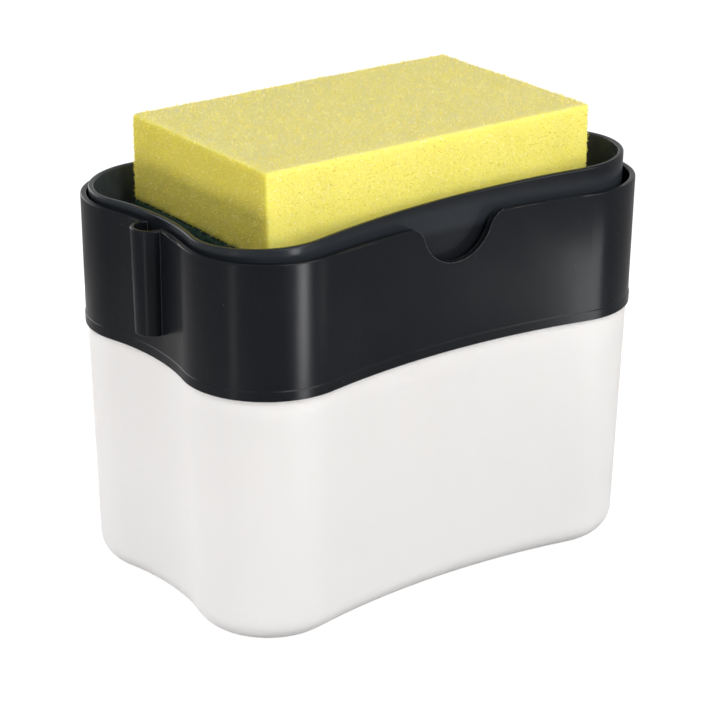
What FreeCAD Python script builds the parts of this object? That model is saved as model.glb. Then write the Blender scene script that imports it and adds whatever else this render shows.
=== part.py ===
# Sponge caddy with a built-in soap pump: a frosted reservoir, a dark collar that caps it and
# carries the pump, and a loose tray that is pressed down to bring soap up into the sponge.
# Millimetres, +Z up, origin on the table under the middle of the reservoir, +X along its length.
import FreeCAD
import Part
import math
import os

from FreeCAD import Vector

# Plan of the casing: four round lobes joined by shallow hollows on all four sides.
case_length = 134.0
case_width = 88.0
lobe_radius = 21.5
side_waist = 4.7
end_waist = 2.9

# Reservoir
shoulder_height = 67.0
base_inset = 2.0
shoulder_inset = 0.5
reservoir_wall = 1.8
base_thickness = 2.2
base_round = 6.8
neck_height = 4.2
neck_wall = 1.4
neck_blend = 6.0

# Collar
collar_height = 34.5
collar_wall = 1.6
collar_flare = 0.3
bead_proud = 0.2
bead_height = 2.4
bead_blend = 0.3
rim_round = 0.4
deck_thickness = 1.8
plug_depth = 5.0
plug_wall = 1.4
notch_depth = 11.2
notch_radius = 11.0
notch_shoulder_radius = 5.5
notch_lip = 0.15
channel_radius = 4.9
channel_foot_radius = 4.4
channel_wall = 1.2
channel_floor = 1.2
channel_height = 27.5
channel_edge_round = 0.5
well_radius = 14.0
well_depth = 7.7
well_wall = 1.6
well_floor = 1.8

# Tray
rim_rise = 4.3
tray_inset = 2.36
tray_taper = 1.0
tray_wall = 1.5
tray_depth = 20.3
tray_floor = 1.8
tray_base_round = 4.0
tray_rim_round = 0.5
tray_lean_degrees = 2.05
tray_lean_heading = -18.0
guide_rib_height = 13.0
guide_rib_drop = 7.0
guide_rib_gap = 0.8
hub_radius = 12.0
hub_height = 2.5
hub_taper = 1.5
hub_roof = 1.2
socket_drop = 2.9
socket_wall = 1.5
drain_rib_width = 2.0
drain_rib_height = 1.4
drain_rib_length = 34.0
drain_rib_pitch = 13.0
drain_ribs_per_side = 2
drain_rib_start = 17.0

# Pump, from the nozzle down to the dip tube
nozzle_radius = 7.4
nozzle_height = 0.9
nozzle_shank_radius = 4.2
nozzle_shank_length = 1.0
nozzle_hole_radius = 0.75
nozzle_hole_circle = 2.6
nozzle_hole_count = 6
nozzle_edge = 0.4
pivot_drop = 1.5
nose_radius = 5.2
nose_cut = 2.2
nose_neck_radius = 4.0
nose_neck_length = 2.6
seal_wall = 2.4
seal_half_height = 2.4
stem_radius = 4.5
stem_bore = 1.6
stem_chamber_bore = 2.9
stem_seat_rise = 3.0
stem_foot_radius = 6.2
stem_foot_thickness = 1.5
outlet_ball_radius = 2.4
outlet_ball_lift = 1.0
outlet_stop_bore = 1.4
outlet_stop_length = 3.0
guide_cap_radius = 11.0
guide_cap_thickness = 2.6
guide_cap_plug_depth = 2.9
guide_cap_edge = 0.6
barrel_bore = 7.0
barrel_wall = 1.5
barrel_flange_radius = 12.4
barrel_flange_thickness = 1.8
barrel_bore_length = 29.7
ball_chamber_bore = 3.7
ball_seat_bore = 1.8
inlet_ball_radius = 3.0
inlet_ball_lift = 1.0
seat_bore_length = 2.0
nipple_depth = 9.0
nipple_wall = 1.5
gasket_thickness = 1.0
nut_height = 6.0
nut_radius = 12.6
nut_flute_radius = 1.6
nut_flute_count = 12
piston_height = 7.0
piston_lip_height = 1.6
piston_waist_inset = 0.7
retainer_thickness = 1.6
retainer_bore = 2.0
retainer_slot_width = 1.4
retainer_slot_count = 4
spring_wire = 0.9
spring_mean_radius = 4.6
spring_turns = 7
dip_tube_radius = 3.0
dip_tube_bore = 2.0
dip_tube_floor_gap = 2.3
dip_tube_cut = 3.0

# Sponge
sponge_end_gap = 8.5
sponge_side_gap = 4.0
pad_thickness = 7.7
foam_thickness = 22.8
sponge_edge_round = 0.8
sponge_lean_degrees = 0.86
sponge_lean_heading = 53.0
sponge_shift_x = 1.5
sponge_shift_y = 1.7

# Clearances
seat_gap = 0.3
running_gap = 0.05
stop_gap = 0.1
ball_gap = 0.06
sponge_gap = 0.35
overrun = 5.0
same_place = 1e-4

# Levels that several pieces share
neck_top_z = shoulder_height + neck_height
deck_bottom_z = neck_top_z + seat_gap
deck_top_z = deck_bottom_z + deck_thickness
collar_top_z = shoulder_height + collar_height
channel_bottom_z = collar_top_z - channel_height
well_floor_top_z = deck_top_z - well_depth
well_floor_bottom_z = well_floor_top_z - well_floor
flange_bottom_z = well_floor_top_z + gasket_thickness
flange_top_z = flange_bottom_z + barrel_flange_thickness
cap_top_z = flange_top_z + guide_cap_thickness
cap_plug_z = flange_top_z - guide_cap_plug_depth
piston_top_z = cap_plug_z - stop_gap
piston_bottom_z = piston_top_z - piston_height
stem_foot_z = piston_bottom_z - stem_foot_thickness
bore_shoulder_z = flange_top_z - barrel_bore_length
retainer_top_z = bore_shoulder_z + retainer_thickness
tray_rim_z = collar_top_z + rim_rise
tray_floor_z = tray_rim_z - tray_depth
tray_bottom_z = tray_floor_z - tray_floor
pivot_z = tray_floor_z - pivot_drop
hub_top_z = tray_floor_z + hub_height
nozzle_top_z = hub_top_z + nozzle_height

# Sizes that several pieces share
half_length = case_length / 2
half_width = case_width / 2
lobe_x = half_length - lobe_radius
lobe_y = half_width - lobe_radius
neck_inset = collar_wall + seat_gap
barrel_outside = barrel_bore + barrel_wall
seal_bore = nose_radius + running_gap
seal_radius = seal_bore + seal_wall
socket_bore = seal_radius + running_gap
dip_socket_bore = dip_tube_radius + running_gap
channel_x = half_length - end_waist + collar_flare
pivot = Vector(0, 0, pivot_z)


# Shared shapes


def waist_radius(reach, depth):
    """Radius of the hollow arc, this deep, between two lobes whose centres are 2 * reach apart."""
    return (reach**2 + depth**2) / (2 * depth) - lobe_radius


def outline(inset, z):
    """The casing's plan, moved inwards by inset, as a closed wire of eight tangent arcs."""
    lobe = Vector(lobe_x, lobe_y, 0)
    side_arc = waist_radius(lobe_x, side_waist)
    end_arc = waist_radius(lobe_y, end_waist)
    side_centre = Vector(0, half_width - side_waist + side_arc, 0)
    end_centre = Vector(half_length - end_waist + end_arc, 0, 0)
    to_end = (end_centre - lobe).normalize()
    to_side = (side_centre - lobe).normalize()
    middle = (to_end + to_side).normalize()
    radius = lobe_radius - inset
    quarter = [lobe + direction * radius for direction in (to_end, middle, to_side)]
    side_low = Vector(0, half_width - side_waist - inset, 0)
    end_low = Vector(half_length - end_waist - inset, 0, 0)

    def turned(point, x_sign, y_sign):
        return Vector(point.x * x_sign, point.y * y_sign, z)

    first, top, last = quarter
    route = [turned(end_low, 1, 1)]
    route += [turned(p, 1, 1) for p in (first, top, last)]
    route += [turned(side_low, 1, 1)]
    route += [turned(p, -1, 1) for p in (last, top, first)]
    route += [turned(end_low, -1, 1)]
    route += [turned(p, -1, -1) for p in (first, top, last)]
    route += [turned(side_low, 1, -1)]
    route += [turned(p, 1, -1) for p in (last, top, first)]
    # An arc runs through three points in a row: a tangent point, a middle and the next tangent point.
    route = [route[-1]] + route
    arcs = [Part.Arc(*route[i : i + 3]).toShape() for i in range(0, len(route) - 2, 2)]
    return Part.Wire(arcs)


def prism(low_inset, low_z, high_inset, high_z):
    """A closed block with the casing's plan, from one level to another."""
    return Part.makeLoft([outline(low_inset, low_z), outline(high_inset, high_z)], True, True)


def level_edges(shape, z):
    """The edges of a shape that lie flat at one level."""
    return [e for e in shape.Edges if all(abs(v.Z - z) < same_place for v in e.Vertexes)]


def cylinder(radius, low_z, high_z, x=0.0, y=0.0):
    return Part.makeCylinder(radius, high_z - low_z, Vector(x, y, low_z))


def cone(low_radius, high_radius, low_z, high_z, x=0.0, y=0.0):
    return Part.makeCone(low_radius, high_radius, high_z - low_z, Vector(x, y, low_z))


def ring(radius, bore, low_z, high_z):
    return cylinder(radius, low_z, high_z).cut(cylinder(bore, low_z, high_z))


def spun_copies(shape, count):
    """Copies of a shape, evenly spaced around the pump's axis."""
    copies = []
    for i in range(count):
        copy = shape.copy()
        copy.rotate(Vector(0, 0, 0), Vector(0, 0, 1), i * 360 / count)
        copies.append(copy)
    return copies


def fused(first, *others):
    return first.multiFuse(list(others)).removeSplitter()


def uphill(heading):
    """Level direction at this many degrees from +X."""
    angle = math.radians(heading)
    return Vector(math.cos(angle), math.sin(angle), 0)


def leaned(shape, degrees, heading):
    """A shape tipped about the stem's nose, so that its side at this heading goes up."""
    copy = shape.copy()
    copy.rotate(pivot, uphill(heading).cross(Vector(0, 0, 1)), degrees)
    return copy


# Reservoir


def reservoir():
    shell = prism(base_inset, 0, shoulder_inset, shoulder_height)
    shell = shell.makeFillet(base_round, level_edges(shell, 0))
    neck = prism(neck_inset, shoulder_height - neck_blend, neck_inset, neck_top_z)
    neck_inside = neck_inset + neck_wall
    blend_z = shoulder_height - neck_blend
    lean_share = blend_z / shoulder_height
    blend_inset = base_inset + (shoulder_inset - base_inset) * lean_share + reservoir_wall
    cavity = prism(base_inset + reservoir_wall, base_thickness, blend_inset, blend_z)
    cavity = cavity.makeFillet(base_round - reservoir_wall, level_edges(cavity, base_thickness))
    throat = prism(blend_inset, blend_z, neck_inside, shoulder_height)
    mouth = prism(neck_inside, shoulder_height, neck_inside, neck_top_z + overrun)
    return fused(shell, neck).cut(cavity).cut(throat).cut(mouth)


# Collar


def notch_prism(side):
    """The finger notch in a long wall: a round bottom that runs into round shoulders."""
    bottom_z = collar_top_z - notch_depth
    centre = Vector(0, 0, bottom_z + notch_radius)
    shoulder_z = collar_top_z + notch_lip - notch_shoulder_radius
    rise = centre.z - shoulder_z
    shoulder_x = math.sqrt((notch_radius + notch_shoulder_radius) ** 2 - rise**2)
    shoulder = Vector(shoulder_x, 0, shoulder_z)
    towards = (shoulder - centre).normalize()
    tangent = centre + towards * notch_radius
    top = Vector(shoulder_x, 0, collar_top_z + notch_lip)
    halfway = (Vector(0, 0, 1) - towards).normalize()
    bend = shoulder + halfway * notch_shoulder_radius

    def mirrored(p):
        return Vector(-p.x, p.y, p.z)

    over = Vector(shoulder_x, 0, collar_top_z + overrun)
    edges = [
        Part.Arc(mirrored(top), mirrored(bend), mirrored(tangent)).toShape(),
        Part.Arc(mirrored(tangent), Vector(0, 0, bottom_z), tangent).toShape(),
        Part.Arc(tangent, bend, top).toShape(),
        Part.LineSegment(top, over).toShape(),
        Part.LineSegment(over, mirrored(over)).toShape(),
        Part.LineSegment(mirrored(over), mirrored(top)).toShape(),
    ]
    face = Part.Face(Part.Wire(edges))
    return face.extrude(Vector(0, side * case_width, 0))


def channel_bulge(side):
    """The half-round bulge in an end wall, in which a guide rib of the tray runs."""
    x = side * channel_x
    bulge = cone(channel_foot_radius, channel_radius, channel_bottom_z, collar_top_z, x)
    return bulge.makeFillet(channel_edge_round, level_edges(bulge, channel_bottom_z))


def channel_hollow(side):
    x = side * channel_x
    slope = (channel_radius - channel_foot_radius) / channel_height
    low_z = channel_bottom_z + channel_floor
    low_radius = channel_foot_radius + slope * channel_floor - channel_wall
    high_radius = channel_radius + slope * overrun - channel_wall
    return cone(low_radius, high_radius, low_z, collar_top_z + overrun, x)


def collar():
    outside = prism(0, shoulder_height, -collar_flare, collar_top_z)
    bead_top_z = shoulder_height + bead_height
    bead = prism(-bead_proud, shoulder_height, -bead_proud, bead_top_z)
    blend = prism(-bead_proud, bead_top_z, 0, bead_top_z + bead_blend)
    bulges = [channel_bulge(side) for side in (-1, 1)]
    shell = fused(outside, bead, blend, *bulges)
    slope = collar_flare / collar_height
    deck_inset = collar_wall - slope * (deck_top_z - shoulder_height)
    top_inset = collar_wall - slope * (collar_height + overrun)
    low_inset = collar_wall + slope * overrun
    skirt_inset = collar_wall - slope * (deck_bottom_z - shoulder_height)
    shell = shell.cut(prism(deck_inset, deck_top_z, top_inset, collar_top_z + overrun))
    shell = shell.cut(prism(low_inset, shoulder_height - overrun, skirt_inset, deck_bottom_z))
    for side in (-1, 1):
        shell = shell.cut(channel_hollow(side))
    shell = shell.makeFillet(rim_round, level_edges(shell, collar_top_z))
    for side in (-1, 1):
        shell = shell.cut(notch_prism(side))
    plug_inset = neck_inset + neck_wall + seat_gap
    plug_z = deck_bottom_z - plug_depth
    plug = prism(plug_inset, plug_z, plug_inset, deck_bottom_z)
    plug = plug.cut(prism(plug_inset + plug_wall, plug_z, plug_inset + plug_wall, deck_bottom_z))
    well = cylinder(well_radius + well_wall, well_floor_bottom_z, deck_bottom_z)
    shell = fused(shell, plug, well)
    shell = shell.cut(cylinder(well_radius, well_floor_top_z, deck_top_z + overrun))
    return shell.cut(cylinder(barrel_outside + seat_gap, well_floor_bottom_z, well_floor_top_z))


# Pump parts that stay with the collar


def barrel_gasket():
    return ring(barrel_flange_radius, barrel_outside + seat_gap, well_floor_top_z, flange_bottom_z)


def inlet_seat_z():
    """Level at which the inlet's cone starts, below the chamber that holds the ball and its lift."""
    ball_top = bore_shoulder_z - stop_gap - inlet_ball_lift
    return ball_top - inlet_ball_radius * (1 + math.sqrt(2)) - ball_gap + ball_seat_bore


def inlet_ball_z():
    return bore_shoulder_z - stop_gap - inlet_ball_lift - inlet_ball_radius


def pump_barrel():
    seat_z = inlet_seat_z()
    cone_top_z = seat_z + ball_chamber_bore - ball_seat_bore
    step_z = bore_shoulder_z - barrel_wall
    nipple_top_z = seat_z - seat_bore_length
    nipple_z = nipple_top_z - nipple_depth
    chamber_outside = ball_chamber_bore + barrel_wall
    body = fused(
        cylinder(barrel_flange_radius, flange_bottom_z, flange_top_z),
        cylinder(barrel_outside, step_z, flange_bottom_z),
        cylinder(chamber_outside, nipple_top_z, step_z),
        cylinder(dip_socket_bore + nipple_wall, nipple_z, nipple_top_z),
    )
    for hollow in (
        cylinder(barrel_bore, bore_shoulder_z, flange_top_z),
        cylinder(ball_chamber_bore, cone_top_z, bore_shoulder_z),
        cone(ball_seat_bore, ball_chamber_bore, seat_z, cone_top_z),
        cylinder(ball_seat_bore, nipple_top_z, seat_z),
        cylinder(dip_socket_bore, nipple_z, nipple_top_z),
    ):
        body = body.cut(hollow)
    return body


def barrel_nut():
    low_z = well_floor_bottom_z - nut_height
    nut = ring(nut_radius, barrel_outside + running_gap, low_z, well_floor_bottom_z)
    flute = cylinder(nut_flute_radius, low_z, well_floor_bottom_z, nut_radius + nut_flute_radius / 2)
    for copy in spun_copies(flute, nut_flute_count):
        nut = nut.cut(copy)
    return nut


def guide_cap():
    top = cylinder(guide_cap_radius, flange_top_z, cap_top_z)
    top = top.makeChamfer(guide_cap_edge, level_edges(top, cap_top_z))
    plug = cylinder(barrel_bore - running_gap, cap_plug_z, flange_top_z)
    return fused(top, plug).cut(cylinder(stem_radius + running_gap, cap_plug_z, cap_top_z))


def inlet_ball():
    return Part.makeSphere(inlet_ball_radius, Vector(0, 0, inlet_ball_z()))


def ball_retainer():
    disc = ring(barrel_bore - running_gap, retainer_bore, bore_shoulder_z, retainer_top_z)
    slot_length = barrel_bore - barrel_wall
    slot = Part.makeBox(slot_length, retainer_slot_width, retainer_thickness)
    slot.translate(Vector(0, -retainer_slot_width / 2, bore_shoulder_z))
    for copy in spun_copies(slot, retainer_slot_count):
        disc = disc.cut(copy)
    return disc


def dip_tube():
    top_z = inlet_seat_z() - seat_bore_length - seat_gap
    low_z = base_thickness + dip_tube_floor_gap
    tube = ring(dip_tube_radius, dip_tube_bore, low_z, top_z)
    slant = [
        Vector(-dip_tube_radius, 0, low_z),
        Vector(dip_tube_radius, 0, low_z),
        Vector(dip_tube_radius, 0, low_z + dip_tube_cut),
    ]
    wedge = Part.Face(Part.makePolygon(slant + slant[:1]))
    wedge.translate(Vector(0, -dip_tube_radius, 0))
    return tube.cut(wedge.extrude(Vector(0, 2 * dip_tube_radius, 0)))


# Pump parts that move with the stem


def pump_stem():
    nose_top_z = pivot_z + nose_cut
    neck_z = pivot_z - nose_radius
    shaft_top_z = neck_z - nose_neck_length
    nose = Part.makeSphere(nose_radius, pivot)
    nose = nose.cut(cylinder(nose_radius + overrun, nose_top_z, nose_top_z + overrun))
    body = fused(
        cylinder(stem_foot_radius, stem_foot_z, piston_bottom_z),
        cylinder(stem_radius, piston_bottom_z, shaft_top_z),
        cylinder(nose_neck_radius, shaft_top_z, pivot_z),
        nose,
    )
    seat_z = outlet_seat_z()
    cone_top_z = seat_z + stem_chamber_bore - stem_bore
    body = body.cut(cylinder(stem_bore, stem_foot_z, seat_z))
    body = body.cut(cone(stem_bore, stem_chamber_bore, seat_z, cone_top_z))
    return body.cut(cylinder(stem_chamber_bore, cone_top_z, nose_top_z))


def outlet_seat_z():
    return cap_top_z + stem_seat_rise


def outlet_ball_z():
    return outlet_seat_z() - stem_bore + outlet_ball_radius * math.sqrt(2) + ball_gap


def outlet_ball():
    return Part.makeSphere(outlet_ball_radius, Vector(0, 0, outlet_ball_z()))


def outlet_stop():
    low_z = outlet_ball_z() + outlet_ball_radius + outlet_ball_lift + stop_gap
    return ring(stem_chamber_bore - running_gap, outlet_stop_bore, low_z, low_z + outlet_stop_length)


def piston():
    radius = barrel_bore - running_gap
    body = ring(radius, stem_radius + running_gap, piston_bottom_z, piston_top_z)
    waist_low = piston_bottom_z + piston_lip_height
    waist_high = piston_top_z - piston_lip_height
    return body.cut(ring(radius + overrun, radius - piston_waist_inset, waist_low, waist_high))


def return_spring():
    """One unbroken wire: flat end turns run into the open turns, on arcs of a quarter turn."""
    low_z = retainer_top_z + spring_wire / 2 + stop_gap
    high_z = stem_foot_z - spring_wire / 2 - stop_gap
    quarter_turns = 4 * spring_turns
    step = (high_z - low_z) / quarter_turns

    def at(quarters):
        angle = quarters * math.pi / 2
        x = spring_mean_radius * math.cos(angle)
        y = spring_mean_radius * math.sin(angle)
        return Vector(x, y, low_z + step * quarters)

    arcs = [Part.Arc(at(i), at(i + 0.5), at(i + 1)).toShape() for i in range(quarter_turns)]
    route = Part.Wire(arcs)
    start = at(0)
    circle = Part.Circle(start, route.Edges[0].tangentAt(route.Edges[0].FirstParameter), spring_wire / 2)
    section = Part.Wire(circle.toShape())
    points = [at(i / 8) for i in range(8 * quarter_turns + 1)]
    apart = [(p - q).Length for i, p in enumerate(points) for q in points[i + 16 :]]
    print("spring: least gap to itself", round(min(apart) - spring_wire, 3))
    return route.makePipeShell([section], True, False)


# Tray and what it carries, drawn level and then tipped as it leans in its collar


def with_tray(shape):
    return leaned(shape, tray_lean_degrees, tray_lean_heading)


def stem_seal():
    body = cylinder(seal_radius, pivot_z - seal_half_height, pivot_z + seal_half_height)
    return with_tray(body.cut(Part.makeSphere(seal_bore, pivot)))


def guide_rib(side):
    """A rounded rib on the outside of an end wall, that runs in the collar's channel."""
    radius = channel_foot_radius - channel_wall - guide_rib_gap
    high_z = tray_rim_z - guide_rib_drop
    low_z = high_z - guide_rib_height
    root_x = half_length - end_waist - tray_inset - tray_taper - tray_wall / 2
    web = Part.makeBox(channel_x - root_x, 2 * radius, guide_rib_height)
    web.translate(Vector(root_x, -radius, low_z))
    rib = fused(web, cylinder(radius, low_z, high_z, channel_x))
    return rib if side > 0 else rib.mirror(Vector(0, 0, 0), Vector(1, 0, 0))


def drain_ribs():
    """Low ribs across the floor, either side of the hub, that keep the pad out of the puddle."""
    ribs = []
    for side in (-1, 1):
        for i in range(drain_ribs_per_side):
            x = side * (drain_rib_start + i * drain_rib_pitch)
            low = Vector(x - drain_rib_width / 2, -drain_rib_length / 2, tray_floor_z)
            ribs.append(Part.makeBox(drain_rib_width, drain_rib_length, drain_rib_height, low))
    return ribs


def tray():
    bottom_inset = tray_inset + tray_taper
    outside = prism(bottom_inset, tray_bottom_z, tray_inset, tray_rim_z)
    outside = outside.makeFillet(tray_base_round, level_edges(outside, tray_bottom_z))
    slope = tray_taper / (tray_rim_z - tray_bottom_z)
    floor_inset = bottom_inset - slope * tray_floor + tray_wall
    over_inset = tray_inset - slope * overrun + tray_wall
    inside = prism(floor_inset, tray_floor_z, over_inset, tray_rim_z + overrun)
    inside = inside.makeFillet(tray_base_round - tray_wall, level_edges(inside, tray_floor_z))
    pan = outside.cut(inside)
    pan = pan.makeFillet(tray_rim_round, level_edges(pan, tray_rim_z))
    hub = cone(hub_radius, hub_radius - hub_taper, tray_floor_z, hub_top_z)
    socket = cylinder(socket_bore + socket_wall, tray_bottom_z - socket_drop, tray_floor_z)
    pan = fused(pan, hub, socket, *[guide_rib(side) for side in (-1, 1)], *drain_ribs())
    pan = pan.cut(cylinder(socket_bore, tray_bottom_z - socket_drop, hub_top_z - hub_roof))
    pan = pan.cut(cylinder(nozzle_shank_radius + running_gap, hub_top_z - hub_roof, hub_top_z))
    return with_tray(pan)


def nozzle():
    head = cylinder(nozzle_radius, hub_top_z, nozzle_top_z)
    head = head.makeChamfer(nozzle_edge, level_edges(head, nozzle_top_z))
    shank = cylinder(nozzle_shank_radius, hub_top_z - nozzle_shank_length, hub_top_z)
    body = fused(head, shank)
    hole = cylinder(nozzle_hole_radius, hub_top_z - nozzle_shank_length, nozzle_top_z, nozzle_hole_circle)
    for copy in spun_copies(hole, nozzle_hole_count):
        body = body.cut(copy)
    return with_tray(body)


# Sponge: foam on a scouring pad, lying on the nozzle and the tray's floor


def sponge_block(low_z, thickness):
    slope = tray_taper / (tray_rim_z - tray_bottom_z)
    floor_inset = tray_inset + tray_taper - slope * tray_floor + tray_wall
    length = 2 * (half_length - end_waist - floor_inset - sponge_end_gap)
    width = 2 * (half_width - side_waist - floor_inset - sponge_side_gap)
    corner = Vector(sponge_shift_x - length / 2, sponge_shift_y - width / 2, low_z)
    block = Part.makeBox(length, width, thickness, corner)
    upright = [e for e in block.Edges if abs(e.Vertexes[0].Z - e.Vertexes[1].Z) > same_place]
    return block.makeFillet(sponge_edge_round, upright)


def with_sponge(shape):
    return leaned(shape, sponge_lean_degrees, sponge_lean_heading)


def scouring_pad():
    return with_sponge(sponge_block(sponge_bottom_z(), pad_thickness))


def sponge_foam():
    low_z = sponge_bottom_z() + pad_thickness
    block = sponge_block(low_z, foam_thickness)
    block = block.makeFillet(sponge_edge_round, level_edges(block, low_z + foam_thickness))
    return with_sponge(block)


def sponge_bottom_z():
    """The pad lies just clear of the nozzle's higher edge, which leans another way than the sponge."""
    tray_slope = uphill(tray_lean_heading) * math.radians(tray_lean_degrees)
    sponge_slope = uphill(sponge_lean_heading) * math.radians(sponge_lean_degrees)
    tip = (tray_slope - sponge_slope).Length
    return nozzle_top_z + nozzle_radius * math.sin(tip) + sponge_gap


nodes = {
    "reservoir": reservoir,
    "collar": collar,
    "barrel_gasket": barrel_gasket,
    "pump_barrel": pump_barrel,
    "barrel_nut": barrel_nut,
    "guide_cap": guide_cap,
    "inlet_ball": inlet_ball,
    "ball_retainer": ball_retainer,
    "dip_tube": dip_tube,
    "pump_stem": pump_stem,
    "piston": piston,
    "outlet_ball": outlet_ball,
    "outlet_stop": outlet_stop,
    "return_spring": return_spring,
    "stem_seal": stem_seal,
    "tray": tray,
    "nozzle": nozzle,
    "scouring_pad": scouring_pad,
    "sponge_foam": sponge_foam,
}

os.makedirs("parts", exist_ok=True)
for name, make in nodes.items():
    shape = make()
    shape.exportStep(os.path.join("parts", name + ".step"))
    box = shape.BoundBox
    print(
        name,
        "valid" if shape.isValid() else "NOT VALID",
        len(shape.Solids),
        "solid, volume",
        round(shape.Volume, 2),
        "z",
        round(box.ZMin, 2),
        round(box.ZMax, 2),
    )
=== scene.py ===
import math

import bpy
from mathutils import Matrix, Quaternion, Vector


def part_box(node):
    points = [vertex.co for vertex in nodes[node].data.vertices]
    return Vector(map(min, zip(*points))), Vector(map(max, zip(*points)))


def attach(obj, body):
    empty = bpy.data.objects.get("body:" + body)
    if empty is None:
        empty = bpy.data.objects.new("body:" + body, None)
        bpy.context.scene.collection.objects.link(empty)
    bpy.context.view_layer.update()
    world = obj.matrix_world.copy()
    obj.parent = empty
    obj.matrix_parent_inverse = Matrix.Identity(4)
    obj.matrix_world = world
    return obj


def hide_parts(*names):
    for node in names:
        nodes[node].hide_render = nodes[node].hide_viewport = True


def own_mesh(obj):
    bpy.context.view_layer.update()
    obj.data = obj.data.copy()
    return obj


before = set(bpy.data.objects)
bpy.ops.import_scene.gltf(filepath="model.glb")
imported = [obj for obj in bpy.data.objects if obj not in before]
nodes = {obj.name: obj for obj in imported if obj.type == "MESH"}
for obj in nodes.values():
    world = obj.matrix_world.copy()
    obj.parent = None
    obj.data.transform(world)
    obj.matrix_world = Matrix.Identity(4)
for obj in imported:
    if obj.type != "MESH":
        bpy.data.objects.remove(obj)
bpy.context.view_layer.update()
mm = 0.001
print("frame loaded:", len(nodes), "solids")


class Socket:  # one output of a node, which can stand in a sum
    def __init__(self, graph, plug):
        self.graph = graph
        self.plug = plug

    def __add__(self, other):
        return self.graph.maths("ADD", self, other)

    def __radd__(self, other):
        return self.graph.maths("ADD", other, self)

    def __sub__(self, other):
        return self.graph.maths("SUBTRACT", self, other)

    def __rsub__(self, other):
        return self.graph.maths("SUBTRACT", other, self)

    def __mul__(self, other):
        return self.graph.maths("MULTIPLY", self, other)

    def __rmul__(self, other):
        return self.graph.maths("MULTIPLY", other, self)


class Graph:  # the nodes of one material, world or modifier
    def __init__(self, tree):
        self.tree = tree
        tree.nodes.clear()

    def node(self, kind, settings=None, values=None, out=0):
        made = self.tree.nodes.new(kind)
        for key, setting in (settings or {}).items():
            setattr(made, key, setting)
        for key, value in (values or {}).items():
            if isinstance(value, Socket):
                self.tree.links.new(value.plug, made.inputs[key])
            else:
                made.inputs[key].default_value = value
        return Socket(self, made.outputs[out]) if len(made.outputs) else None

    def maths(self, operation, *values):
        return self.node("ShaderNodeMath", {"operation": operation}, dict(enumerate(values)))

    def place(self):
        return self.node("ShaderNodeTexCoord", out="Object")

    def facing(self):
        return self.node("ShaderNodeNewGeometry", out="Normal")

    def attribute(self, name):
        return self.node("ShaderNodeAttribute", {"attribute_name": name}, out="Fac")

    def stretched(self, place, scale):
        return self.node("ShaderNodeMapping", {}, {"Vector": place, "Scale": scale})

    def noise(self, place, size, detail=2.0, rough=0.5):
        values = {"Vector": place, "Scale": 1 / size, "Detail": detail, "Roughness": rough}
        return self.node("ShaderNodeTexNoise", {}, values)

    def cells(self, place, size, out="Distance", feature="F1"):
        return self.node("ShaderNodeTexVoronoi", {"feature": feature}, {"Vector": place, "Scale": 1 / size}, out)

    def spots(self, place, size, core, edge, rarest, commonest):  # round spots in some of the cells
        spot = 1 - self.remap(self.cells(place, size), core, edge)
        return spot * self.remap(self.part(self.cells(place, size, "Color"), 0), rarest, commonest)

    def remap(self, value, low, high, first=0.0, last=1.0):
        values = {"Value": value, "From Min": low, "From Max": high, "To Min": first, "To Max": last}
        return self.node("ShaderNodeMapRange", {"interpolation_type": "SMOOTHSTEP"}, values)

    def part(self, vector, axis):
        return self.node("ShaderNodeSeparateXYZ", {}, {0: vector}, axis)

    def mixed(self, share, first, second):
        first = first if isinstance(first, Socket) else (*first, 1)
        second = second if isinstance(second, Socket) else (*second, 1)
        return self.node("ShaderNodeMix", {"data_type": "RGBA"}, {0: share, 6: first, 7: second}, 2)

    def rounded(self, radius, samples=6):
        return self.node("ShaderNodeBevel", {"samples": samples}, {"Radius": radius})

    def edge(self, normal, least, most):  # 1 along an edge that the rounded normal turns over
        settings = {"operation": "DOT_PRODUCT"}
        along = self.node("ShaderNodeVectorMath", settings, {0: normal, 1: self.facing()}, "Value")
        return self.remap(1 - along, least, most)

    def raised(self, height, depth, strength=1.0, under=None):
        values = {"Height": height, "Distance": depth, "Strength": strength}
        if under:
            values["Normal"] = under
        return self.node("ShaderNodeBump", {}, values)

    def seen(self, mirrored):  # 1 for the camera's rays, and a share for rays that are mirrored or pass through
        names = ("Is Camera Ray", "Is Glossy Ray", "Is Transmission Ray")
        camera, glossy, through = (self.node("ShaderNodeLightPath", out=name) for name in names)
        return self.maths("MAXIMUM", camera, self.maths("MAXIMUM", glossy, through) * mirrored)


def newMaterial(name):
    material = bpy.data.materials.new(name)
    material.use_nodes = True
    return material, Graph(material.node_tree)


def surface(graph, values):
    shader = graph.node("ShaderNodeBsdfPrincipled", {}, values, "BSDF")
    graph.node("ShaderNodeOutputMaterial", {}, {"Surface": shader})


# Finishes: a ...Range says between which values of a pattern its effect sets in

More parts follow.
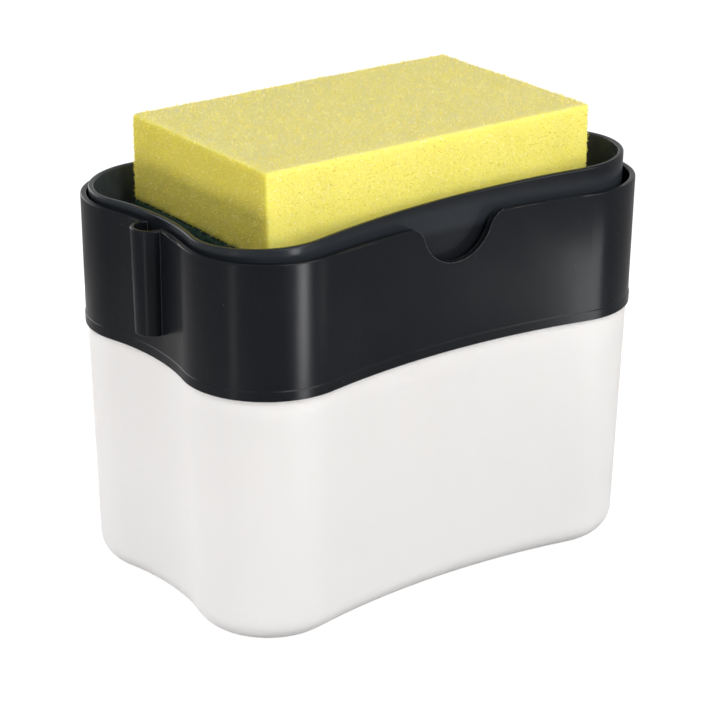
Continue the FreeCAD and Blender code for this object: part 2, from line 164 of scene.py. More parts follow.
darkLook = {
    "deep": (0.0060, 0.0070, 0.0094),
    "worn": (0.0074, 0.0084, 0.0108),
    # painted highlight: a pale line along the sharp edges
    "edgeHighlight": (0.14, 0.143, 0.145),
    # painted light: a paler bluish tone for walls that lie in shade
    "paintedLift": (0.056, 0.067, 0.078),
    "dust": (0.13, 0.135, 0.14),
    "rough": 0.2,
    "ior": 1.5,
    "specular": 0.15,
    "cloudSize": 22 * mm,
    "cloudRange": (0.35, 0.7),
    "smearSize": 9 * mm,
    "smearStretch": (1.0, 1.0, 0.25),
    "smearRange": (0.35, 0.75),
    "grainSize": 0.16 * mm,
    "grainDepth": 0.003 * mm,
    "peelSize": 2.6 * mm,
    "flowSize": 9 * mm,
    "flowStretch": (1.0, 1.0, 0.05),
    "waveDepth": 0.014 * mm,
    "specks": {"size": 3.4 * mm, "core": 0.02, "edge": 0.042, "rarest": 0.55, "commonest": 0.75},
    "fluff": {"size": 0.9 * mm, "core": 0.05, "edge": 0.10, "rarest": 0.955, "commonest": 0.975},
    "edgeHighlightRadius": 0.34 * mm,
    "edgeHighlightRange": (0.05, 0.2),
    "edgeHighlightShare": 0.85,
    "highlightBreakSize": 1.7 * mm,
    "highlightBreakRange": (0.25, 0.6, 0.45, 1.0),
    "liftPatchSize": 4 * mm,
    "liftPatchRange": (0.2, 0.7, 0.7, 1.0),
    "outerRange": (-0.012, -0.002),
    "outerLift": 0.03,
    "gapBandLift": 0.27,
    "gapBandFoot": (96.5 * mm, 99.5 * mm),
    "gapBandHead": (102.5 * mm, 106.5 * mm),
}


def makeDarkPlastic(name, paintsLift):
    look = darkLook
    material, g = newMaterial(name)
    at = g.place()
    clouds = g.noise(at, look["cloudSize"], detail=3.0)
    smears = g.noise(g.stretched(at, look["smearStretch"]), look["smearSize"], detail=1.0)
    grain = g.noise(at, look["grainSize"])
    peel = g.noise(at, look["peelSize"], detail=1.0)
    flow = g.noise(g.stretched(at, look["flowStretch"]), look["flowSize"])
    dust = g.spots(at, **look["specks"]) * 0.7 + g.spots(at, **look["fluff"]) * 0.3
    # painted highlight along the edges, broken up by noise
    highlightBreaks = g.remap(g.noise(at, look["highlightBreakSize"], detail=3.0, rough=0.6), *look["highlightBreakRange"])
    edgeHighlight = g.edge(g.rounded(look["edgeHighlightRadius"]), *look["edgeHighlightRange"]) * highlightBreaks
    colour = g.mixed(g.remap(clouds, *look["cloudRange"]), look["deep"], look["worn"])
    if paintsLift:  # painted light: a pale bluish lift, in patches, on the walls that face inwards, and in a band outside at the height of the collar's top edge, where shade falls between the parts
        facing = g.facing()
        outward = g.part(facing, 0) * g.part(at, 0) * 0.5 + g.part(facing, 1) * g.part(at, 1)
        outer = g.remap(outward, *look["outerRange"])
        patches = g.remap(g.noise(at, look["liftPatchSize"], detail=4.0, rough=0.6), *look["liftPatchRange"])
        height = g.part(at, 2)
        gapBand = g.remap(height, *look["gapBandFoot"]) * (1 - g.remap(height, *look["gapBandHead"]))
        paintedLift = (1 - outer + outer * look["outerLift"]) * patches + outer * gapBand * look["gapBandLift"]
        colour = g.mixed(paintedLift, colour, look["paintedLift"])
    colour = g.mixed(edgeHighlight * look["edgeHighlightShare"], colour, look["edgeHighlight"])
    colour = g.mixed(dust, colour, look["dust"])
    rough = look["rough"] + g.remap(smears, *look["smearRange"]) * 0.05 + clouds * 0.05 + edgeHighlight * 0.1 + dust * 0.4
    normal = g.raised(peel * 0.7 + flow * 0.5, look["waveDepth"])
    normal = g.raised(grain + dust * 2.0, look["grainDepth"], under=normal)
    surface(
        g,
        {
            "Base Color": colour,
            "Roughness": rough,
            "IOR": look["ior"],
            "Specular IOR Level": look["specular"],
            "Normal": normal,
        },
    )
    return material


frostedLook = {
    # painted light: the glow inside the tub, warmer towards the top and cooler towards the bottom
    "warmLitTone": (0.95, 0.862, 0.836),
    "coolLitTone": (0.905, 0.885, 0.89),
    "milky": (0.945, 0.915, 0.90),
    "dragged": (0.89, 0.89, 0.90),
    # tone of the scuff lines, and of the painted shade at the foot
    "scuffedAndFootShade": (0.84, 0.845, 0.86),
    "rough": 0.46,
    "ior": 1.49,
    "lightTintHeights": (16 * mm, 66 * mm),
    "cloudShift": 20 * mm,
    "cloudSize": 30 * mm,
    "cloudStretch": (1.0, 1.0, 0.55),
    "milkyRange": (0.3, 0.75),
    "frostSize": 0.28 * mm,
    "pitSize": 0.55 * mm,
    "frostDepth": 0.012 * mm,
    "dragSize": 3.2 * mm,
    "dragStretch": (1.0, 1.0, 0.06),
    "dragRange": (0.45, 0.7),
    "dragDepth": 0.03 * mm,
    "scuffSize": 9 * mm,
    "scuffStretch": (1.3, 1.3, 0.4),
    "scuffLine": (0.0, 0.012),
    "scuffPatchSize": 16 * mm,
    "scuffPatchRange": (0.55, 0.7),
    "footShadeHeights": (0.0, 5 * mm),
    "glowRadius": (1.0, 0.97, 0.94),
    "glowDepth": 6 * mm,
}


def makeFrostedPlastic():
    look = frostedLook
    material, g = newMaterial("frostedPlastic")
    at = g.place()
    height = g.part(at, 2)
    clouds = g.noise(g.stretched(at, look["cloudStretch"]), look["cloudSize"], detail=3.0)
    frost = g.noise(at, look["frostSize"], detail=3.0, rough=0.6)
    pits = g.cells(at, look["pitSize"])
    drag = g.noise(g.stretched(at, look["dragStretch"]), look["dragSize"], detail=3.0)
    lines = g.cells(g.stretched(at, look["scuffStretch"]), look["scuffSize"], feature="DISTANCE_TO_EDGE")
    patches = g.remap(g.noise(at, look["scuffPatchSize"]), *look["scuffPatchRange"])
    scuff = (1 - g.remap(lines, *look["scuffLine"])) * patches
    # painted shade: darker in the lowest 5 mm, which is also rougher
    footShade = 1 - g.remap(height, *look["footShadeHeights"])
    # painted light: warmer towards the top, cooler towards the bottom
    paintedLightTint = g.remap(height + clouds * look["cloudShift"], *look["lightTintHeights"])
    colour = g.mixed(paintedLightTint, look["coolLitTone"], look["warmLitTone"])
    colour = g.mixed(g.remap(clouds, *look["milkyRange"]) * 0.35, colour, look["milky"])
    colour = g.mixed(g.remap(drag, *look["dragRange"]) * 0.10, colour, look["dragged"])
    colour = g.mixed(scuff * 0.12 + footShade * 0.2, colour, look["scuffedAndFootShade"])
    rough = look["rough"] + frost * 0.14 + scuff * 0.1 + footShade * 0.08
    normal = g.raised(drag, look["dragDepth"])
    normal = g.raised(frost * 0.8 + pits * 0.5, look["frostDepth"], under=normal)
    surface(
        g,
        {
            "Base Color": colour,
            "Roughness": rough,
            "IOR": look["ior"],
            "Normal": normal,
            "Subsurface Weight": 1.0,
            "Subsurface Radius": look["glowRadius"],
            "Subsurface Scale": look["glowDepth"],
        },
    )
    return material


paleLook = {
    "pumpWhite": {"colour": (0.80, 0.80, 0.785), "shade": (0.72, 0.715, 0.69), "rough": 0.34},
    "tubePlastic": {"colour": (0.70, 0.745, 0.765), "shade": (0.62, 0.67, 0.70), "rough": 0.28},
    "ior": 1.49,
    "cloudSize": 6 * mm,
    "shadeRange": (0.35, 0.7),
    "dullRange": (0.45, 0.7),
    "grainSize": 0.2 * mm,
    "toolSize": 3 * mm,
    "toolStretch": (0.3, 0.3, 4.0),
    "depth": 0.01 * mm,
    "glow": 0.25,
    "glowDepth": 1.5 * mm,
}


def makePaleMoulding(name):
    look, own = paleLook, paleLook[name]
    material, g = newMaterial(name)
    at = g.place()
    clouds = g.noise(at, look["cloudSize"], detail=3.0)
    grain = g.noise(at, look["grainSize"])
    tool = g.noise(g.stretched(at, look["toolStretch"]), look["toolSize"])
    surface(
        g,
        {
            "Base Color": g.mixed(g.remap(clouds, *look["shadeRange"]), own["colour"], own["shade"]),
            "Roughness": own["rough"] + grain * 0.1 + g.remap(clouds, *look["dullRange"]) * 0.08,
            "IOR": look["ior"],
            "Normal": g.raised(grain * 0.6 + tool, look["depth"]),
            "Subsurface Weight": look["glow"],
            "Subsurface Scale": look["glowDepth"],
        },
    )
    return material


rubberLook = {
    "clean": (0.022, 0.022, 0.024),
    "bloomed": (0.075, 0.074, 0.072),
    "rough": 0.62,
    "bloomSize": 3 * mm,
    "bloomRange": (0.45, 0.75),
    "grainSize": 0.12 * mm,
    "grainDepth": 0.012 * mm,
}


def makeSealRubber():
    look = rubberLook
    material, g = newMaterial("sealRubber")
    at = g.place()
    bloom = g.noise(at, look["bloomSize"], detail=4.0, rough=0.6)
    grain = g.noise(at, look["grainSize"])
    colour = g.mixed(g.remap(bloom, *look["bloomRange"]), look["clean"], look["bloomed"])
    rough = look["rough"] + grain * 0.15 + bloom * 0.1
    surface(g, {"Base Color": colour, "Roughness": rough, "Normal": g.raised(grain, look["grainDepth"])})
    return material


steelLook = {
    "bright": (0.62, 0.62, 0.63),
    "stained": (0.45, 0.44, 0.43),
    "rough": 0.2,
    "drawSize": 0.5 * mm,
    "drawStretch": (1.0, 1.0, 9.0),
    "drawDepth": 0.006 * mm,
    "stainSize": 2.2 * mm,
    "stainRange": (0.45, 0.7),
    "dullRange": (0.5, 0.7),
}


def makeSteel():
    look = steelLook
    material, g = newMaterial("springSteel")
    at = g.place()
    draw = g.noise(g.stretched(at, look["drawStretch"]), look["drawSize"], detail=3.0)
    stain = g.noise(at, look["stainSize"], detail=3.0)
    colour = g.mixed(g.remap(stain, *look["stainRange"]), look["bright"], look["stained"])
    rough = look["rough"] + draw * 0.14 + g.remap(stain, *look["dullRange"]) * 0.12
    normal = g.raised(draw, look["drawDepth"])
    surface(g, {"Base Color": colour, "Metallic": 1.0, "Roughness": rough, "Normal": normal})
    return material


foamLook = {
    # painted light and shade: a lit front, shaded ends that grow lighter towards the foot, and a paler lit top
    "litFront": (0.84, 0.79, 0.195),
    "end": (0.63, 0.565, 0.092),
    "shadedEndFoot": (0.81, 0.74, 0.135),
    "top": (0.69, 0.655, 0.30),
    "poreShade": (0.70, 0.625, 0.085),
    "glint": (1.0, 1.0, 0.9),
    "rough": 0.75,
    "shadedEndRange": (0.45, 0.9),
    "shadedEndHeights": (94 * mm, 116 * mm),
    "litTopRange": (0.45, 0.95),
    "cloudSize": 8 * mm,
    "cloudRange": (0.4, 0.75),
    "cellSize": 0.5 * mm,
    "fineSize": 0.32 * mm,
    "poreShadeRange": (0.55, 1.0, 0.32, 0.0),
    "glints": {"size": 0.7 * mm, "core": 0.15, "edge": 0.25, "rarest": 0.76, "commonest": 0.86},
    "cellDepth": 0.10 * mm,
    "cellStrength": 0.7,
    "glowRadius": (1.0, 0.9, 0.22),
    "glowDepth": 4.0 * mm,
}


def makeFoam():
    look = foamLook
    material, g = newMaterial("yellowFoam")
    at = g.place()
    top = g.attribute("top")
    end = g.attribute("end")
    cells = g.cells(at, look["cellSize"])
    fine = g.noise(at, look["fineSize"], rough=0.6)
    clouds = g.noise(at, look["cloudSize"], detail=3.0)
    glint = g.spots(at, **look["glints"])
    # painted shade on the ends, lighter near the foot, and painted light on the top
    ends = g.mixed(g.remap(g.part(at, 2), *look["shadedEndHeights"]), look["shadedEndFoot"], look["end"])
    colour = g.mixed(g.remap(end, *look["shadedEndRange"]), look["litFront"], ends)
    colour = g.mixed(g.remap(top, *look["litTopRange"]), colour, look["top"])
    colour = g.mixed(g.remap(clouds, *look["cloudRange"]) * 0.2, colour, look["end"])
    # painted shade in the pits of the cell bump
    colour = g.mixed(g.remap(fine + cells * 0.5, *look["poreShadeRange"]), colour, look["poreShade"])
    colour = g.mixed(glint, colour, look["glint"])
    surface(
        g,
        {
            "Base Color": colour,
            "Roughness": look["rough"] - glint * 0.35,
            "Metallic": glint,
            "Normal": g.raised(cells * 0.7 + fine, look["cellDepth"], look["cellStrength"]),
            "Subsurface Weight": 1.0,
            "Subsurface Radius": look["glowRadius"],
            "Subsurface Scale": look["glowDepth"],
        },
    )
    return material


fuzzLook = {
    "shaded": (0.80, 0.70, 0.11),
    "lit": (0.86, 0.79, 0.25),
    # painted light: the struts on top are paler
    "top": (0.78, 0.73, 0.34),
    # painted glints: white, smoother flecks on some struts
    "fleck": (1.0, 0.99, 0.85),
    "through": (0.84, 0.76, 0.18, 1),
    "throughShare": 0.55,
    "rough": 0.7,
    "patchSize": 0.9 * mm,
    "patchRange": (0.35, 0.7),
    "litTopRange": (0.45, 0.95),
    "fleckAndGlintRange": (0.78, 0.86),
}


def makeFoamFuzz():
    look = fuzzLook
    material, g = newMaterial("foamFuzz")
    # painted glints on some of the struts
    fleck = g.remap(g.attribute("fleck"), *look["fleckAndGlintRange"])
    patches = g.remap(g.noise(g.place(), look["patchSize"]), *look["patchRange"])
    colour = g.mixed(patches, look["shaded"], look["lit"])
    # painted light: paler on top
    colour = g.mixed(g.remap(g.attribute("top"), *look["litTopRange"]) * 0.8, colour, look["top"])
    colour = g.mixed(fleck, colour, look["fleck"])
    rough = look["rough"] - fleck * 0.4
    shader = g.node("ShaderNodeBsdfPrincipled", {}, {"Base Color": colour, "Roughness": rough}, "BSDF")
    through = g.node("ShaderNodeBsdfTranslucent", {}, {"Color": look["through"]})
    both = g.node("ShaderNodeMixShader", {}, {0: look["throughShare"], 1: shader, 2: through})
    g.node("ShaderNodeOutputMaterial", {}, {"Surface": both})
    return material


scourerLook = {
    "deep": (0.003, 0.018, 0.012),
    "green": (0.012, 0.082, 0.052),
    "cloud": (0.006, 0.045, 0.034),
    "fleck": (0.035, 0.16, 0.105),
    "rough": 0.5,
    "knotSize": 1.1 * mm,
    "strandSize": 0.7 * mm,
    "strandStretch": (1.0, 1.0, 2.2),
    "strandRange": (0.3, 0.7),
    "cloudSize": 7 * mm,
    "cloudRange": (0.4, 0.7),
    "fleckAndGlintRange": (0.75, 0.95),
    "depth": 0.3 * mm,
}


def makeScourer():
    look = scourerLook
    material, g = newMaterial("greenScourer")
    at = g.place()
    # pale strands of random tone on the pad
    fleck = g.attribute("fleck")
    knots = g.cells(at, look["knotSize"])
    strands = g.noise(g.stretched(at, look["strandStretch"]), look["strandSize"], detail=3.0, rough=0.65)
    clouds = g.noise(at, look["cloudSize"], detail=3.0)
    colour = g.mixed(g.remap(strands, *look["strandRange"]), look["deep"], look["green"])
    colour = g.mixed(g.remap(clouds, *look["cloudRange"]) * 0.4, colour, look["cloud"])
    colour = g.mixed(g.remap(fleck, *look["fleckAndGlintRange"]) * 0.6, colour, look["fleck"])
    rough = look["rough"] + strands * 0.25
    normal = g.raised(strands + knots * 0.6, look["depth"])
    surface(g, {"Base Color": colour, "Roughness": rough, "Normal": normal})
    return material


dark = makeDarkPlastic("darkPlastic", False)
trayDark = makeDarkPlastic("trayPlastic", True)
frosted = makeFrostedPlastic()
pumpWhite = makePaleMoulding("pumpWhite")
tubeClear = makePaleMoulding("tubePlastic")
rubber = makeSealRubber()
steel = makeSteel()
foamYellow = makeFoam()
fuzzYellow = makeFoamFuzz()
scourerGreen = makeScourer()

finishes = {
    dark: ("collar", "guide_cap", "nozzle"),
    trayDark: ("tray",),
    frosted: ("reservoir",),
    pumpWhite: ("pump_barrel", "barrel_nut", "ball_retainer", "pump_stem", "outlet_stop"),
    tubeClear: ("dip_tube", "piston"),
    rubber: ("barrel_gasket", "stem_seal"),
    steel: ("inlet_ball", "outlet_ball"),
}


def paint(piece, material):
    piece.data.materials.clear()
    piece.data.materials.append(material)


for finish, names in finishes.items():
    for name in names:
        paint(nodes[name], finish)
print("finishes on", sum(len(names) for names in finishes.values()), "solids")


# Modelling helpers

samePlace = 1e-6  # corners closer than this are one
fullTurn = 6.283


def pick(piece):
    bpy.ops.object.select_all(action="DESELECT")
    piece.select_set(True)
    bpy.context.view_layer.objects.active = piece


def copyOfNode(node, name):
    piece = bpy.data.objects.new(name, nodes[node].data.copy())
    bpy.context.scene.collection.objects.link(piece)
    pick(piece)
    bpy.ops.object.mode_set(mode="EDIT")
    bpy.ops.mesh.select_all(action="SELECT")
    bpy.ops.mesh.remove_doubles(threshold=samePlace)
    bpy.ops.object.mode_set(mode="OBJECT")
    return piece


def applyAll(piece):
    pick(piece)
    for modifier in list(piece.modifiers):
        bpy.ops.object.modifier_apply(modifier=modifier.name)


def remesh(piece, grid):
    net = piece.modifiers.new("net", "REMESH")
    net.mode = "VOXEL"
    net.voxel_size = grid
    applyAll(piece)


def arcFibre(name, thickness, bend, turn, steps):
    # a three-sided section, spun about a far centre into a bent strand that stands on its root
    bpy.ops.object.select_all(action="DESELECT")
    bpy.ops.mesh.primitive_circle_add(vertices=3, radius=thickness / 2, fill_type="NGON")
    piece = bpy.context.active_object
    piece.name = name
    bpy.ops.object.mode_set(mode="EDIT")
    bpy.ops.mesh.select_all(action="SELECT")
    bpy.ops.mesh.spin(steps=steps, angle=-turn, center=(bend, 0, 0), axis=(0, 1, 0))
    bpy.ops.mesh.select_all(action="SELECT")
    bpy.ops.mesh.normals_make_consistent(inside=False)
    bpy.ops.object.mode_set(mode="OBJECT")
    return piece


def modifierGraph(piece, name):
    tree = bpy.data.node_groups.new(name, "GeometryNodeTree")
    tree.interface.new_socket("Geometry", in_out="INPUT", socket_type="NodeSocketGeometry")
    tree.interface.new_socket("Geometry", in_out="OUTPUT", socket_type="NodeSocketGeometry")
    modifier = piece.modifiers.new(name, "NODES")
    modifier.node_group = tree
    return Graph(tree)


def noted(g, geometry, name, value):
    settings = {"data_type": "FLOAT", "domain": "POINT"}
    return g.node("GeometryNodeStoreNamedAttribute", settings, {"Geometry": geometry, "Name": name, "Value": value})


def pushed(g, geometry, away, depth):
    push = g.node("ShaderNodeVectorMath", {"operation": "SCALE"}, {0: away, "Scale": depth})
    return g.node("GeometryNodeSetPosition", {}, {"Geometry": geometry, "Offset": push})


def compared(g, operation, first, second):
    return g.node("FunctionNodeCompare", {"data_type": "FLOAT", "operation": operation}, {0: first, 1: second})


def chance(g, least, most, seed):
    return g.node("FunctionNodeRandomValue", {"data_type": "FLOAT"}, {2: least, 3: most, "Seed": seed}, 1)


def strewn(g, mesh, strand, density, seed, tilt, shortest, longest, where=True):
    spread = {"Mesh": mesh, "Selection": where, "Density": density, "Seed": seed}
    points = g.node("GeometryNodeDistributePointsOnFaces", {}, spread)
    upright = Socket(g, points.plug.node.outputs["Rotation"])
    points = noted(g, points, "fleck", chance(g, 0.0, 1.0, seed + 1))
    lean = {0: (-tilt, -tilt, 0.0), 1: (tilt, tilt, fullTurn), "Seed": seed + 2}
    lean = g.node("FunctionNodeRandomValue", {"data_type": "FLOAT_VECTOR"}, lean)
    lean = g.node("FunctionNodeEulerToRotation", {}, {0: lean})
    turned = g.node("FunctionNodeRotateRotation", {"rotation_space": "LOCAL"}, {0: upright, 1: lean})
    size = chance(g, shortest, longest, seed + 3)
    shape = g.node("GeometryNodeObjectInfo", {}, {"Object": strand}, "Geometry")
    copies = {"Points": points, "Instance": shape, "Rotation": turned, "Scale": size}
    copies = g.node("GeometryNodeInstanceOnPoints", {}, copies)
    return g.node("GeometryNodeRealizeInstances", {}, {"Geometry": copies})


# Sponge foam

foamSet = {
    "grid": 0.45 * mm,
    "softening": 12,
    "edgeSpread": 10,
    "cell": 0.95 * mm,
    "pitRange": (0.1, 0.6),
    "pitDepth": 0.10 * mm,
    "swaySize": 13 * mm,
    "wander": 0.5 * mm,
    # how far the soft block's upper corners lie from square, x and y in mm
    "lean": {(-1, 1): (1.0, 0.73), (-1, -1): (-0.24, 0.88), (1, -1): (0.19, 0.36), (1, 1): (-0.24, 0.64)},
}

fuzzSet = {
    "strut": {"thickness": 0.09 * mm, "bend": 0.55 * mm, "turn": 0.75, "steps": 1},
    "spread": {"density": 2.6e6, "seed": 11, "tilt": 0.9, "shortest": 0.5, "longest": 1.7},
    "lowestFacing": -0.6,  # the face that lies on the pad has none
}


def leanOver(piece, corners):
    low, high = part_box("sponge_foam")
    bpy.ops.object.select_all(action="DESELECT")
    bpy.ops.object.add(type="LATTICE", location=(low + high) / 2)
    cage = bpy.context.active_object
    cage.scale = high - low
    for point in cage.data.points:
        side = (1 if point.co.x > 0 else -1, 1 if point.co.y > 0 else -1)
        if point.co.z > 0:
            shift = Vector((corners[side][0] * mm / cage.scale.x, corners[side][1] * mm / cage.scale.y, 0))
            point.co_deform = point.co + shift
    bpy.context.view_layer.update()
    bend = piece.modifiers.new("lean", "LATTICE")
    bend.object = cage
    applyAll(piece)
    bpy.data.objects.remove(cage)


def makeFoamBlock():
    piece = copyOfNode("sponge_foam", "foamBlock")
    remesh(piece, foamSet["grid"])
    soft = piece.modifiers.new("softEdges", "SMOOTH")
    soft.iterations = foamSet["softening"]
    applyAll(piece)
    leanOver(piece, foamSet["lean"])

    g = modifierGraph(piece, "openCells")
    block = g.node("NodeGroupInput", out="Geometry")
    at = g.node("GeometryNodeInputPosition")
    away = g.node("GeometryNodeInputNormal")
    ends = g.maths("ABSOLUTE", g.part(away, 0))
    for name, facing in (("top", g.part(away, 2)), ("end", ends)):  # the painted light of the top and the painted shade of the ends run into each other at the edges
        spread = {"Value": facing, "Iterations": foamSet["edgeSpread"]}
        block = noted(g, block, name, g.node("GeometryNodeBlurAttribute", {"data_type": "FLOAT"}, spread))
    pit = 1 - g.remap(g.cells(at, foamSet["cell"]), *foamSet["pitRange"])
    sway = (g.noise(at, foamSet["swaySize"]) - 0.5) * foamSet["wander"]
    block = pushed(g, block, away, sway - pit * foamSet["pitDepth"])
    g.node("NodeGroupOutput", {}, {0: block})
    applyAll(piece)
    bpy.ops.object.shade_smooth()
    paint(piece, foamYellow)
    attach(piece, "sponge")
    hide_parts("sponge_foam")
    print("foam block:", len(piece.data.polygons), "faces")
    return piece


def makeFuzz(block):  # the cut cell walls that stand out of the block
    piece = bpy.data.objects.new("foamFuzz", block.data.copy())
    bpy.context.scene.collection.objects.link(piece)
    strut = arcFibre("foamStrut", **fuzzSet["strut"])
    g = modifierGraph(piece, "cutCells")
    block = g.node("NodeGroupInput", out="Geometry")
    away = g.node("GeometryNodeInputNormal")
    seen = compared(g, "GREATER_THAN", g.part(away, 2), fuzzSet["lowestFacing"])
    g.node("NodeGroupOutput", {}, {0: strewn(g, block, strut, where=seen, **fuzzSet["spread"])})
    applyAll(piece)
    bpy.data.objects.remove(strut)
    paint(piece, fuzzYellow)
    piece.visible_shadow = False  # cell walls this thin let the light through
    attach(piece, "sponge")
    print("foam fuzz:", len(piece.data.polygons), "faces")


makeFuzz(makeFoamBlock())


# Scouring pad

padSet = {
    "grid": 0.8 * mm,
    "lumpSize": 2.4 * mm,
    "lumpLevel": 0.62,
    "unevenness": 0.9 * mm,
    "strand": {"thickness": 0.15 * mm, "bend": 1.5 * mm, "turn": 1.9, "steps": 4},
    "faceStrands": {"density": 2.2e5, "seed": 31, "tilt": 1.45, "shortest": 0.4, "longest": 0.85},
    "sideStrands": {"density": 2.4e6, "seed": 47, "tilt": 1.3, "shortest": 0.35, "longest": 0.8},
    "sideFacing": 0.6,
}


def makeScouringPad():
    piece = copyOfNode("scouring_pad", "scouringMat")
    remesh(piece, padSet["grid"])
    strand = arcFibre("padStrand", **padSet["strand"])

    g = modifierGraph(piece, "tangledStrands")
    block = g.node("NodeGroupInput", out="Geometry")
    at = g.node("GeometryNodeInputPosition")
    away = g.node("GeometryNodeInputNormal")
    lumps = g.noise(at, padSet["lumpSize"], detail=3.0, rough=0.6)
    block = pushed(g, block, away, (lumps - padSet["lumpLevel"]) * padSet["unevenness"])
    beside = compared(g, "LESS_THAN", g.maths("ABSOLUTE", g.part(away, 2)), padSet["sideFacing"])
    strands = strewn(g, block, strand, **padSet["faceStrands"])
    edging = strewn(g, block, strand, where=beside, **padSet["sideStrands"])
    whole = g.node("GeometryNodeJoinGeometry")
    for geometry in (block, strands, edging):
        g.tree.links.new(geometry.plug, whole.plug.node.inputs[0])
    g.node("NodeGroupOutput", {}, {0: whole})
    applyAll(piece)
    bpy.data.objects.remove(strand)
    paint(piece, scourerGreen)
    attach(piece, "sponge")
    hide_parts("scouring_pad")
    print("scouring mat:", len(piece.data.polygons), "faces")


makeScouringPad()


# Return spring

springSet = {
    "meanRadius": 4.6 * mm,
    "wire": 0.9 * mm,
    "turns": 7,
    "sides": 12,
    "stepsPerTurn": 40,
    "smoothAngle": 0.7,
    "seat": 40.3 * mm,
    "keep": 0.54,
}


def makeSpring():
    low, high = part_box("return_spring")
    wireRadius = springSet["wire"] / 2
    bpy.ops.object.select_all(action="DESELECT")
    bpy.ops.mesh.primitive_circle_add(
        vertices=springSet["sides"],
        radius=wireRadius,
        location=(springSet["meanRadius"], 0, low.z + wireRadius),
        rotation=(math.pi / 2, 0, 0),
    )
    piece = bpy.context.active_object
    piece.name = "springCoil"
    bpy.ops.object.transform_apply(location=True, rotation=True, scale=True)
    coil = piece.modifiers.new("coil", "SCREW")
    coil.axis = "Z"
    coil.angle = 2 * math.pi
    coil.iterations = springSet["turns"]
    coil.screw_offset = (high.z - low.z - springSet["wire"]) / springSet["turns"]
    coil.steps = springSet["stepsPerTurn"]
    coil.render_steps = springSet["stepsPerTurn"]
    applyAll(piece)
    bpy.ops.object.mode_set(mode="EDIT")
    bpy.ops.mesh.select_all(action="SELECT")
    bpy.ops.mesh.remove_doubles(threshold=samePlace)
    bpy.ops.mesh.fill_holes(sides=0)
    bpy.ops.mesh.normals_make_consistent(inside=False)
    bpy.ops.object.mode_set(mode="OBJECT")
    bpy.ops.object.shade_smooth_by_angle(angle=springSet["smoothAngle"])
    paint(piece, steel)
    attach(piece, "cover")
    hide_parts("return_spring")
    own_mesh(piece)
    print("spring:", len(piece.data.polygons), "faces")


makeSpring()


# Floor, light and camera

floorSet = {
    "size": 6.0,
    "drop": 0.2 * mm,
    "glow": 0.86,
    "shade": (0.30, 0.30, 0.305, 1),
    "bounce": (0.36, 0.357, 0.355, 1),
    "mirrored": 0.05,
}


def makeFloor():  # the camera sees it white with the object's shadow, and the object sees it duller
    bpy.ops.object.select_all(action="DESELECT")
    bpy.ops.mesh.primitive_plane_add(size=floorSet["size"], location=(0, 0, 0))
    floor = bpy.context.active_object
    floor.name = "floor"
    bpy.ops.object.mode_set(mode="EDIT")
    bpy.ops.mesh.select_all(action="SELECT")
    bpy.ops.transform.translate(value=(0, 0, -floorSet["drop"]))
    bpy.ops.object.mode_set(mode="OBJECT")
    material, g = newMaterial("paleFloor")
    glow = g.node("ShaderNodeEmission", {}, {"Color": (1, 1, 1, 1), "Strength": floorSet["glow"]})
    shade = g.node("ShaderNodeBsdfDiffuse", {}, {"Color": floorSet["shade"]})
    white = g.node("ShaderNodeAddShader", {}, {0: glow, 1: shade})
    plain = g.node("ShaderNodeBsdfDiffuse", {}, {"Color": floorSet["bounce"]})
    both = g.node("ShaderNodeMixShader", {}, {0: g.seen(floorSet["mirrored"]), 1: plain, 2: white})
    g.node("ShaderNodeOutputMaterial", {}, {"Surface": both})
    paint(floor, material)


worldSet = {"tint": (1.0, 0.99, 0.985, 1), "level": 0.38, "overheadRange": (0.05, 0.6)}


def makeWorld():  # white to the camera, and in mirrors near the horizon
    world = bpy.data.worlds.new("paleRoom")
    bpy.context.scene.world = world
    world.use_nodes = True
    g = Graph(world.node_tree)
    towards = g.node("ShaderNodeTexCoord", out="Generated")
    overhead = g.remap(g.part(towards, 2), *worldSet["overheadRange"])
    room = g.node("ShaderNodeBackground", {}, {"Color": worldSet["tint"], "Strength": worldSet["level"]})
    white = g.node("ShaderNodeBackground", {}, {"Color": (1, 1, 1, 1), "Strength": 1.0})
    both = g.node("ShaderNodeMixShader", {}, {0: g.seen(1 - overhead), 1: room, 2: white})
    g.node("ShaderNodeOutputWorld", {}, {"Surface": both})


lampDistance = 1.0
lampAim = (0, 0, 60 * mm)

# azimuth from +X and elevation, width and height, and level: what a white surface that faces the lamp shows
lampSet = {
    "frontBox": {"turn": (-80, 27), "size": (0.75, 0.75), "level": 0.98, "tint": (1.0, 0.985, 0.965)},
    "sideBox": {"turn": (-170, 46), "size": (0.6, 0.8), "level": 0.12, "tint": (1.0, 0.985, 0.97)},
    "overhead": {"turn": (60, 80), "size": (0.9, 0.9), "level": 0.06, "tint": (1.0, 1.0, 1.0)},
    "backBox": {"turn": (105, 14), "size": (0.9, 0.5), "level": 0.34, "tint": (1.0, 0.985, 0.975)},
}

# pale cards close by, which show only in the glossy walls, in mm
cardSet = {
    "streakCard": {"centre": (-15, -190, 36), "faces": (0, 0, 60), "size": (36, 70), "bright": 15.0},
    "rightCard": {"centre": (92, -222, 40), "faces": (30, 0, 70), "size": (26, 60), "bright": 0.5},
    "lobeCard": {"centre": (64, -81, 54), "faces": (88, -27, 60), "size": (34, 42), "bright": 5.2},
    "leftCard": {"centre": (-210, -65, 36), "faces": (0, 0, 60), "size": (21, 70), "bright": 2.2},
    "lowLeftCard": {"centre": (-150, 170, 2), "faces": (-150, 170, 90), "size": (120, 120), "bright": 0.13},
    "lowRightCard": {"centre": (112, -215, 2), "faces": (112, -215, 90), "size": (60, 22), "bright": 4.0},
}
cardTint = (1, 1, 1)

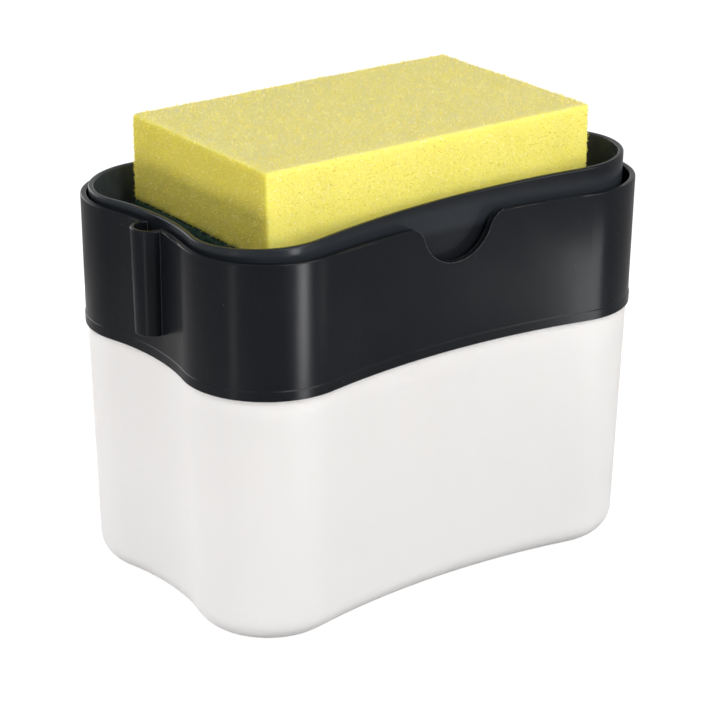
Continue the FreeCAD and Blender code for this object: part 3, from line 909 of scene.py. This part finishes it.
# low pale boards that fill the tub's ends and back, and show in no reflection, in mm
boardSet = {
    "leftBoard": {"centre": (-235, -10, 34), "faces": (0, 0, 34), "size": (260, 62), "bright": 4.6},
    "backBoard": {"centre": (10, 235, 34), "faces": (0, 0, 34), "size": (260, 62), "bright": 3.2},
    "rightBoard": {"centre": (240, 20, 34), "faces": (0, 0, 34), "size": (220, 62), "bright": 1.3},
}
boardTint = (1.0, 0.98, 0.965)


def addLamp(name, place, towards, width, height, energy, tint):
    bpy.ops.object.light_add(type="AREA", location=place, rotation=towards.to_track_quat("Z", "Y").to_euler())
    light = bpy.context.active_object
    light.name = name
    light.data.shape = "RECTANGLE"
    light.data.size = width
    light.data.size_y = height
    light.data.color = tint
    light.data.energy = energy
    light.visible_camera = False
    return light


def addPanel(name, panel, tint):
    centre, faces = Vector(panel["centre"]) * mm, Vector(panel["faces"]) * mm
    width, height = (side * mm for side in panel["size"])
    return addLamp(name, centre, centre - faces, width, height, panel["bright"] * width * height * math.pi, tint)


def makeLamps():
    for name, lamp in lampSet.items():
        turn, rise = (math.radians(angle) for angle in lamp["turn"])
        towards = Vector((math.cos(turn) * math.cos(rise), math.sin(turn) * math.cos(rise), math.sin(rise)))
        place = Vector(lampAim) + towards * lampDistance
        addLamp(name, place, towards, *lamp["size"], lamp["level"] * (math.pi * lampDistance) ** 2, lamp["tint"])
    for name, card in cardSet.items():
        light = addPanel(name, card, cardTint)
        light.visible_diffuse = False
        light.visible_transmission = False
    for name, board in boardSet.items():
        light = addPanel(name, board, boardTint)
        light.visible_glossy = False


cameraSet = {
    "place": (-0.34269, -0.45648, 0.27842),
    "aim": (0.001191, 0.001779, 0.050537),
    "roll": 0.008,
    "lens": 115.15,
    "sensor": 36,
    "nearest": 10 * mm,
}


def makeCamera():
    place, aim = Vector(cameraSet["place"]), Vector(cameraSet["aim"])
    turn = (aim - place).to_track_quat("-Z", "Y") @ Quaternion((0, 0, 1), cameraSet["roll"])
    bpy.ops.object.camera_add(location=place, rotation=turn.to_euler())
    camera = bpy.context.active_object
    camera.name = "photoCamera"
    camera.data.lens = cameraSet["lens"]
    camera.data.sensor_width = cameraSet["sensor"]
    camera.data.clip_start = cameraSet["nearest"]
    bpy.context.scene.camera = camera


makeFloor()
makeWorld()
makeLamps()
makeCamera()
bpy.context.scene.view_settings.view_transform = "Standard"
print("floor, lamps and camera set")
